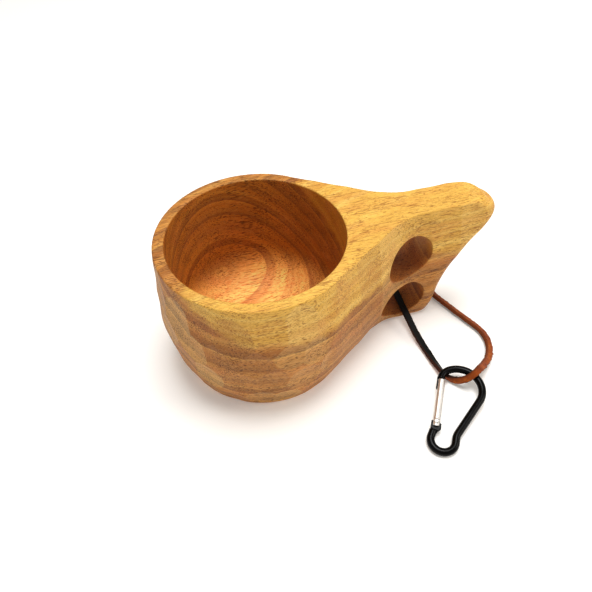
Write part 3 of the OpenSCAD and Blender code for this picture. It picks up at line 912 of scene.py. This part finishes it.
def polygon_distance(x, y, corners):
    """Signed distance to a polygon, below zero inside."""
    c = np.asarray(corners, dtype=float)
    nearest = np.full_like(x, 1e9)
    inside = np.zeros(x.shape, dtype=bool)
    for a, b in zip(c, np.roll(c, -1, axis=0)):
        nearest = np.minimum(nearest, line_distance(x, y, a, b))
        spans = (a[1] > y) != (b[1] > y)
        rise = b[1] - a[1] if b[1] != a[1] else 1.0
        inside ^= spans & (x < (b[0] - a[0]) * (y - a[1]) / rise + a[0])
    return np.where(inside, -nearest, nearest)


def soft_min(a, b, r):
    """Union of two solids with a fillet of about radius r."""
    h = np.maximum(r - np.abs(a - b), 0) / r
    return np.minimum(a, b) - h * h * r / 4


def plate_field(x, y, z, corners):
    """A flat plate of the tang's thickness with rounded edges."""
    return round_max(polygon_distance(x, y, corners), np.abs(z) - TANG_T / 2, 0.22)


def cam_edge():
    """Outline of the tang's cam, which pushes the plunger in as the gate opens."""
    front = [(CAM_LOW + CAM_RISE * min(1, a / GATE_SWING)) * turned(-a) for a in range(0, 45, 4)]
    return front + [CAM_LOW * turned(-a) for a in range(60, 341, 20)]


def hook_field(x, y, z):
    """The bent rod with its flattened ends."""
    shape = x.shape
    x, y, z = (np.ravel(v).astype(float) for v in (x, y, z))
    way = np.minimum.reduce([
        arc_distance(x, y, SHOULDER_C, SHOULDER_R, SHOULDER_A, 90),
        arc_distance(x, y, BOW_C, BOW_R, -90 - SPINE_A, SHOULDER_A),
        line_distance(x, y, SPINE_TOP, SPINE_END),
        arc_distance(x, y, WAIST_C, WAIST_R, 90 - SPINE_A, 90),
        line_distance(x, y, WAIST_C + WAIST_R * turned(90), SMALL_C - SMALL_R * turned(90)),
        arc_distance(x, y, SMALL_C, SMALL_R, SMALL_STOP, 270),
        line_distance(x, y, SMALL_END, (0.0, 0.0))])
    rod = np.hypot(way, z) - ROD_R
    nose = np.where((y > -4) & (x > 10), NOSE_X - x, -9.0)
    rod = round_max(rod, nose, 0.45)
    rod = round_max(rod, ROD_END_R - np.hypot(x, y), 0.5)
    tang = np.minimum(plate_field(x, y, z, TANG_EDGE), plate_field(x, y, z, cam_edge()))
    solid = soft_min(rod, tang, 0.7)
    solid = soft_min(solid, plate_field(x, y, z, TONGUE_EDGE), 0.5)
    return np.maximum(solid, RIVET_R - np.hypot(x, y)).reshape(shape)


def gate_field(x, y, z):
    """The gate's tube: slotted for the tang and for the nose's tongue, bored for the spring."""
    solid = round_max(np.hypot(y, z) - GATE_R, x - (NOSE_X - NOSE_GAP), 0.35)
    solid = round_max(solid, np.hypot(np.minimum(x, 0), y) - GATE_FOOT_R, 0.35)
    tang_slot = np.maximum(np.abs(z) - SLOT_HALF, x - SLOT_END)
    tongue_slot = np.maximum(np.abs(z) - SLOT_HALF,
                             np.maximum(TONGUE_SLOT[0] - x, TONGUE_SLOT[1] - y))
    solid = round_max(round_max(solid, -tang_slot, 0.12), -tongue_slot, 0.12)
    bore = np.maximum(np.hypot(y, z) - BORE_R, np.maximum(x - BORE_END, SLOT_END - 0.5 - x))
    solid = np.maximum(solid, -bore)
    return np.maximum(solid, RIVET_R + RIVET_GAP - np.hypot(x, y))


def in_hook_frame(points):
    """Points of the hook's own frame, in the shared frame."""
    return HOOK_ORIGIN + points @ HOOK_AXES


def black_anodised():
    """Glossy black finish of the rod, with faint handling marks."""
    g = Graph("black_anodised_rod")
    p = g.place()
    smudge = g.noise(p, 0.5, 3, 0.6)
    color = g.mix(g.step(smudge, 0.35, 0.7), "#020202", "#040405")
    fine = g.noise(p, 7.0, 2, 0.5)
    rough = g.math("ADD", g.step(smudge, 0.3, 0.75, 0.17, 0.25),
                   g.math("MULTIPLY", fine, 0.05))
    return g.finish(color, rough, g.bump(fine, 0.12, 0.00004), Specular_IOR_Level=0.4, IOR=1.22)


def bright_metal():
    """Drawn metal of the gate and the rivet, with fine lines along the gate."""
    g = Graph("bright_drawn_metal")
    p = g.place()
    turned_p = g.join(*(g.vec("DOT_PRODUCT", p, tuple(axis)) for axis in HOOK_AXES))
    lines = g.noise(turned_p, (0.25, 9.0, 9.0), 3, 0.6)
    color = g.ramp(lines, [(0.3, "#C9C6C1"), (0.6, "#E2DFDB")])
    rough = g.step(lines, 0.3, 0.7, 0.38, 0.46)
    return g.finish(color, rough, g.bump(lines, 0.05, 0.00002), Metallic=1.0)


def spring_steel():
    g = Graph("spring_steel")
    p = g.place()
    tint = g.noise(p, 3.0, 2, 0.5)
    return g.finish(g.ramp(tint, [(0.35, "#8E8F91"), (0.65, "#A9AAAC")]), 0.3, Metallic=1.0)


def build_hook():
    """The rod and its gate from their fields, and the rivet as a turned pin."""
    black, bright, steel = black_anodised(), bright_metal(), spring_steel()
    made = []
    for name, node, body, slot, field, box, fineness, material in (
            ("hook_rod", "hook_body", "hook", "black_rod", hook_field, ROD_BOX, 1, black),
            ("gate_tube", "hook_gate", "gate", "bright_tube", gate_field, GATE_BOX, 0.8, bright)):
        cell = 0.2 * fineness
        points, faces, normals = surface_net(field, *box, cell)
        piece = make_object(name, in_hook_frame(points), faces, [material],
                            normals=normals @ HOOK_AXES)
        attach(piece, body)
        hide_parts(node)
        made.append(piece)
    made.append(build_rivet(bright))
    # the spring and the plunger keep their CAD shapes
    for node in ("gate_spring", "gate_plunger"):
        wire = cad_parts[node]
        for place in wire.material_slots:
            place.material = steel
        if node == "gate_spring":
            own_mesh(wire)
        made.append(wire)
    return made


def build_rivet(material):
    """Rivet with a low domed head on each face of the gate."""
    around = 40
    half = GATE_R + RIVET_GAP
    dome = [(1.25 * math.cos(a), half + 0.45 * math.sin(a))
            for a in np.radians(np.arange(0, 90, 11.25))] + [(0.02, half + 0.45)]
    top = [(RIVET_R, half - 0.02), (1.17, half - 0.02)] + dome
    rows = [(r, -z) for r, z in reversed(top)] + top
    turn = np.arange(around) * 2 * math.pi / around
    points = np.array([[(r * math.cos(t), r * math.sin(t), z) for t in turn] for r, z in rows])
    piece = make_object("gate_rivet_pin", in_hook_frame(points.reshape(-1, 3)),
                        tube_faces(len(rows), around), [material])
    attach(piece, "hook")
    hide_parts("gate_rivet")
    return piece


hook_pieces = build_hook()


# ---- knot behind the handle ----

KNOT_MIDDLE = np.array([88.0, 22.4, 3.35])
KNOT_MARGIN = 0.02
TAIL_ROUTES = (
    ("leather_tail_left", 21, [(86.6, 23.2, 3.6, 10), (85.4, 25.4, 3.0, 16), (84.0, 28.2, 1.9, 8),
                               (82.9, 31.4, 1.25, 0), (82.3, 34.2, 1.15, -3)]),
    ("leather_tail_right", 22, [(89.4, 23.2, 3.2, -6), (90.6, 25.6, 2.6, -12),
                                (91.9, 28.2, 1.7, -6), (92.6, 30.8, 1.25, 0),
                                (92.9, 32.8, 1.15, 4)]))


def build_knot():
    """Overhand knot pulled tight in the strip, with two short tails."""
    turn = np.radians(np.arange(0, 360, 3))
    loop = np.stack([0.70 * (np.sin(turn) + 2 * np.sin(2 * turn)),
                     -0.62 * np.sin(3 * turn) * 1.9,
                     0.66 * (np.cos(turn) - 2 * np.cos(2 * turn))], axis=1)
    centre = KNOT_MIDDLE + loop
    ahead = unit(np.roll(centre, -1, 0) - np.roll(centre, 1, 0))
    out = unit(loop * (1, 1.6, 1))
    wide = unit(np.cross(ahead, out))
    thin = np.cross(wide, ahead)
    section = strip_section() * (0.66, 0.74)
    rng = np.random.default_rng(11)
    rough = 1 + 0.03 * rng.normal(0, 1, (len(centre), len(section), 1))
    sect = section[None] * rough
    points = (centre[:, None] + wide[:, None] * sect[..., :1] + thin[:, None] * sect[..., 1:])
    low, high = cad_corners("lanyard_knot")
    points = np.clip(points, low + KNOT_MARGIN, high - KNOT_MARGIN)
    count, around = len(centre), len(section)
    faces = [(j * around + i, j * around + (i + 1) % around,
              (j + 1) % count * around + (i + 1) % around, (j + 1) % count * around + i)
             for j in range(count) for i in range(around)]
    knot = leather_piece("leather_knot", points, faces,
                         np.tile(leather_slots(section, 0.6), count))
    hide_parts("lanyard_knot")
    tails = [strip_piece(name, route, 8, seed)[0] for name, seed, route in TAIL_ROUTES]
    return [knot] + tails


knot_pieces = build_knot()


# ---- floor and light ----

FLOOR_HALF = 2500
SOFTBOX_TARGET = np.array([0.02, 0.0, 0.03])    # metres


def add_floor():
    g = Graph("studio_floor")
    material = g.finish((0.94, 0.93, 0.91, 1.0), 0.6, Specular_IOR_Level=0.1,
                        Emission_Color=(1.0, 0.98, 0.95, 1.0), Emission_Strength=0.13)
    corners = [(u * FLOOR_HALF, v * FLOOR_HALF, 0) for u, v in ((-1, -1), (1, -1), (1, 1), (-1, 1))]
    make_object("studio_floor", corners, [(0, 1, 2, 3)], [material])


def add_softbox(name, place, size, power, color=(1, 1, 1)):
    """A round area light; place and size are in metres, and power is in watts."""
    light = bpy.data.lights.new(name, "AREA")
    light.shape = "DISK"
    light.size = size
    light.energy = power
    light.color = color
    made = bpy.data.objects.new(name, light)
    back = unit(np.array(place) - SOFTBOX_TARGET)
    right = unit(np.cross((0.0, 0.02, 1.0), back))
    made.matrix_world = facing(right, np.cross(back, right), back, place)
    bpy.context.collection.objects.link(made)


def add_lights():
    world = bpy.data.worlds.new("studio")
    world.use_nodes = True
    surround = world.node_tree.nodes["Background"]
    surround.inputs["Color"].default_value = (1.0, 0.97, 0.92, 1)
    surround.inputs["Strength"].default_value = 0.50
    bpy.context.scene.world = world
    add_softbox("softbox_main", (0.08, 0.055, 0.90), 0.48, 6.8)
    add_softbox("softbox_side", (0.62, -0.26, 0.38), 0.28, 1.1, color=(1.0, 0.93, 0.84))
    bpy.context.scene.view_settings.view_transform = "Standard"


add_floor()
add_lights()
